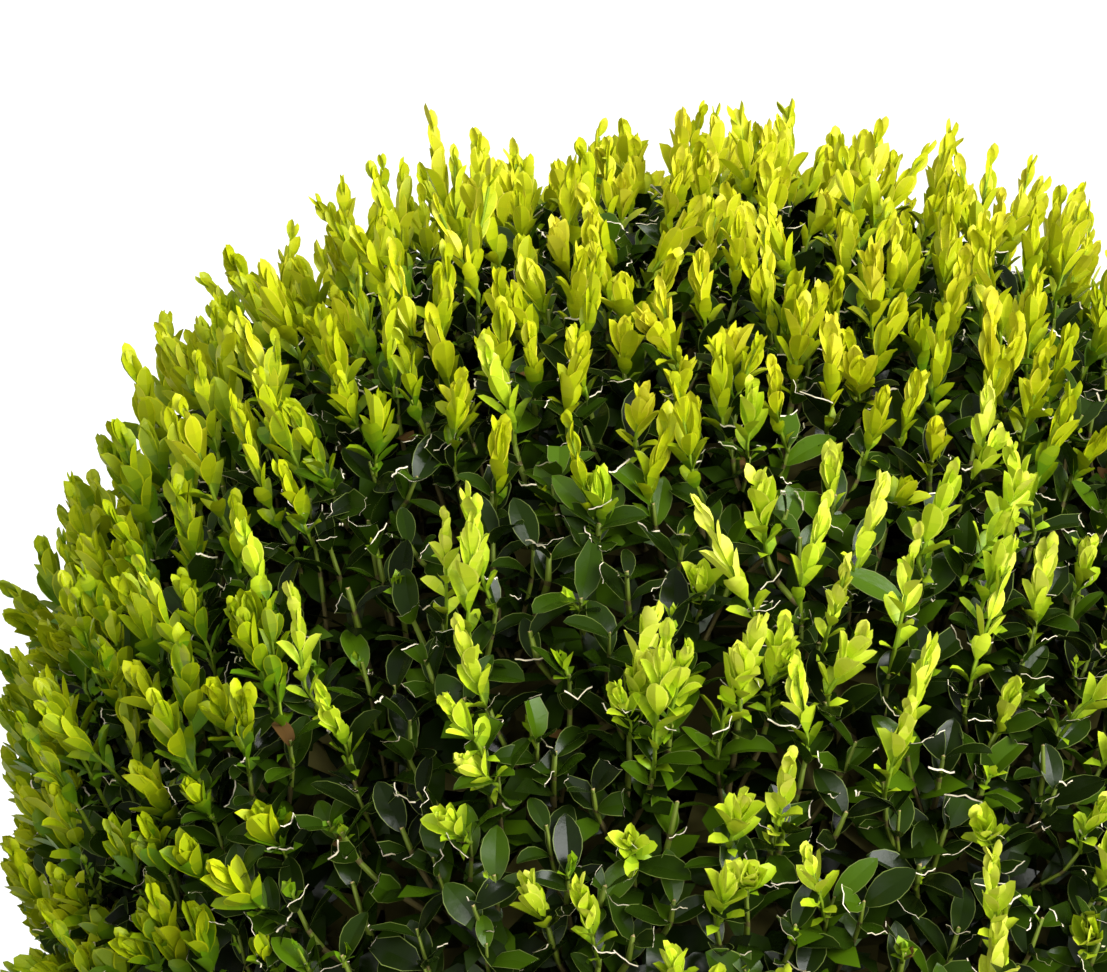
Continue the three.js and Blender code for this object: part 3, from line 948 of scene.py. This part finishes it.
def bark_material():
    material = plain_material("bark", srgb(112, 98, 78), 0.9, 0.2)
    noise = roughened(material, scale=180, detail=6, strength=0.4, distance=0.001)
    nodes, links = material.node_tree.nodes, material.node_tree.links
    ramp = nodes.new("ShaderNodeValToRGB")
    set_ramp(ramp, (0.35, srgb(70, 58, 44)), (0.68, srgb(142, 130, 108)))
    links.new(noise.outputs["Fac"], ramp.inputs["Fac"])
    links.new(ramp.outputs["Color"], nodes["Principled BSDF"].inputs["Base Color"])
    return material


def make_materials():
    sunny = leaf_materials("new_leaf", SUNNY_TINTS, 0.44, 0.32)
    shaded = leaf_materials("new_lime_leaf", SHADED_TINTS, 0.44, 0.40)
    return {
        "bark": bark_material(),
        "twig": plain_material("twig_bark", srgb(100, 92, 52), 0.8, 0.2),
        "green_stem": plain_material("green_stem", srgb(108, 126, 36), 0.55, 0.3),
        "cut_end": plain_material("cut_end", srgb(184, 164, 112), 0.8, 0.2),
        "dry": plain_material("dry_edge", srgb(252, 240, 212), 0.8, 0.2),
        "dead": plain_material("dead_leaf", srgb(102, 74, 34), 0.8, 0.2),
        # the inner leaves' dull brownish green: partly their own colour, partly painted shade deep in
        # the ball
        "inner": plain_material("inner_shade_leaf", srgb(84, 80, 40), 0.8, 0.1),
        "old": leaf_materials("old_leaf", OLD_TINTS, 0.27, 0.23),
        "old_margin": plain_material("old_margin", srgb(108, 124, 54), 0.5, 0.3),
        "new": sunny + shaded,
        "new_stem": plain_material("new_stem", srgb(138, 166, 40), 0.6, 0.15),
    }


# ---- Stage ----

FLOOR_HALF = 40.0
FLOOR_COLOUR = (0.9, 0.9, 0.9, 1)
WHITE = (1, 1, 1, 1)
HORIZON, HORIZON_AT = (0.3, 0.3, 0.3, 1), 0.04  # colour, and height on the unit sky
BELOW = (0.26, 0.24, 0.18, 1)
SKY = 1.30  # strength of the sky straight overhead
SKY_IN_GLOSS = 0.26  # share of it that glossy leaves mirror
# Each light's name, the direction that it comes from, its width in degrees and its strength
LIGHTS = [
    ("key", (0.72, -0.74, 0.54), 30, 2.85),
    ("fill", (0.55, -1.0, 0.05), 40, 2.15),
]


def make_stage():
    """A pale floor that catches the shadow and throws no light back up."""
    mesh = bpy.data.meshes.new("floor")
    signs = [(-1, -1), (1, -1), (1, 1), (-1, 1)]
    corners = [(x * FLOOR_HALF, y * FLOOR_HALF, 0) for x, y in signs]
    mesh.from_pydata(corners, [], [(0, 1, 2, 3)])
    floor = bpy.data.objects.new("floor", mesh)
    bpy.context.scene.collection.objects.link(floor)
    mesh.materials.append(plain_material("floor", FLOOR_COLOUR, 0.9, 0.0))
    floor.visible_diffuse = False


def make_world():
    """A white backdrop, and for lighting a soft sky that is brightest overhead and dark below."""
    world = bpy.data.worlds.new("world")
    bpy.context.scene.world = world
    world.use_nodes = True
    nodes, links = world.node_tree.nodes, world.node_tree.links
    lighting = nodes["Background"]
    place = nodes.new("ShaderNodeTexCoord")
    parts = nodes.new("ShaderNodeSeparateXYZ")
    ramp = nodes.new("ShaderNodeValToRGB")
    set_ramp(ramp, (0.0, BELOW), (1.0, WHITE))
    ramp.color_ramp.elements.new(HORIZON_AT).color = HORIZON
    shown = nodes.new("ShaderNodeBackground")
    shown.inputs["Color"].default_value = WHITE
    shown.inputs["Strength"].default_value = 1.0
    path = nodes.new("ShaderNodeLightPath")
    dimmed = nodes.new("ShaderNodeMapRange")
    dimmed.inputs["To Min"].default_value = SKY
    dimmed.inputs["To Max"].default_value = SKY * SKY_IN_GLOSS
    links.new(path.outputs["Is Glossy Ray"], dimmed.inputs["Value"])
    links.new(dimmed.outputs[0], lighting.inputs["Strength"])
    mix = nodes.new("ShaderNodeMixShader")
    links.new(place.outputs["Generated"], parts.inputs[0])
    links.new(parts.outputs["Z"], ramp.inputs["Fac"])
    links.new(ramp.outputs["Color"], lighting.inputs["Color"])
    links.new(path.outputs["Is Camera Ray"], mix.inputs["Fac"])
    links.new(lighting.outputs[0], mix.inputs[1])
    links.new(shown.outputs[0], mix.inputs[2])
    links.new(mix.outputs[0], nodes["World Output"].inputs["Surface"])


def sun_light(name, towards, angle, strength):
    """A broad even light from the direction given."""
    light = bpy.data.lights.new(name, "SUN")
    light.angle = math.radians(angle)
    light.energy = strength
    made = bpy.data.objects.new(name, light)
    made.rotation_mode = "QUATERNION"
    made.rotation_quaternion = Vector(towards).to_track_quat("Z", "Y")
    bpy.context.scene.collection.objects.link(made)


# ---- Camera ----

ELEVATION = math.radians(10)
CAMERA_DISTANCE = 1.80
FRAME_WIDTH = 0.395  # what the frame takes in at the ball's centre
AIM_LEFT, AIM_UP = 0.0523, 0.114  # the frame's middle, seen from the ball's centre


def make_camera():
    data = bpy.data.cameras.new("camera")
    data.sensor_width = 36
    data.lens = data.sensor_width * CAMERA_DISTANCE / FRAME_WIDTH
    data.clip_start, data.clip_end = 0.05, 100
    camera = bpy.data.objects.new("camera", data)
    back = Vector((0, -math.cos(ELEVATION), math.sin(ELEVATION)))
    centre = Vector(BALL_CENTRE)
    camera.location = centre + back * CAMERA_DISTANCE
    image_up = Vector((0, math.sin(ELEVATION), math.cos(ELEVATION)))
    aim = centre + Vector((-AIM_LEFT, 0, 0)) + image_up * AIM_UP
    camera.rotation_mode = "QUATERNION"
    camera.rotation_quaternion = (aim - camera.location).to_track_quat("-Z", "Y")
    bpy.context.scene.collection.objects.link(camera)
    bpy.context.scene.camera = camera


# ---- Assembly ----

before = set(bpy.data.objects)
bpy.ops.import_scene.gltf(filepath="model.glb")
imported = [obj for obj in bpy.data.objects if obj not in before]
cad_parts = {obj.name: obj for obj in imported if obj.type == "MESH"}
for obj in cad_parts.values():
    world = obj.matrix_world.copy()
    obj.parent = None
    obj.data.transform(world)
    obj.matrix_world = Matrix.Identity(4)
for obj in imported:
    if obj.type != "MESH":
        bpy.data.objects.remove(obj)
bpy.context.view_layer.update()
bpy.context.scene.view_settings.view_transform = "Standard"

make_camera()
make_stage()
make_world()
for light in LIGHTS:
    sun_light(*light)

materials = make_materials()
masses = make_masses()
make_trunk(materials["bark"])
make_boughs(masses, materials["bark"])

bough_tips = {
    "tips": np.stack([BALL_CENTRE + m["outward"] * BARE_RADIUS for m in masses]),
    "direction": np.stack([m["outward"] for m in masses]),
}
branches = grow_level(bough_tips, BRANCH)
branchlets = grow_level(branches, BRANCHLET)
twigs = grow_level(branchlets, TWIG)

wood = Growth()
add_limbs(wood, branches["curves"], BRANCH, sides=5, rings=8)
add_limbs(wood, branchlets["curves"], BRANCHLET, sides=3, rings=5)
wood.piece("branches", [materials["twig"]])

twigs["crowding"] = rng.normal(1.0, 0.12, len(twigs["tips"])).clip(0.75, 1.3)
make_twigs(twigs, masses, materials)
make_old_leaves(twigs, branchlets, branches, materials)
make_shoots(twigs, materials)
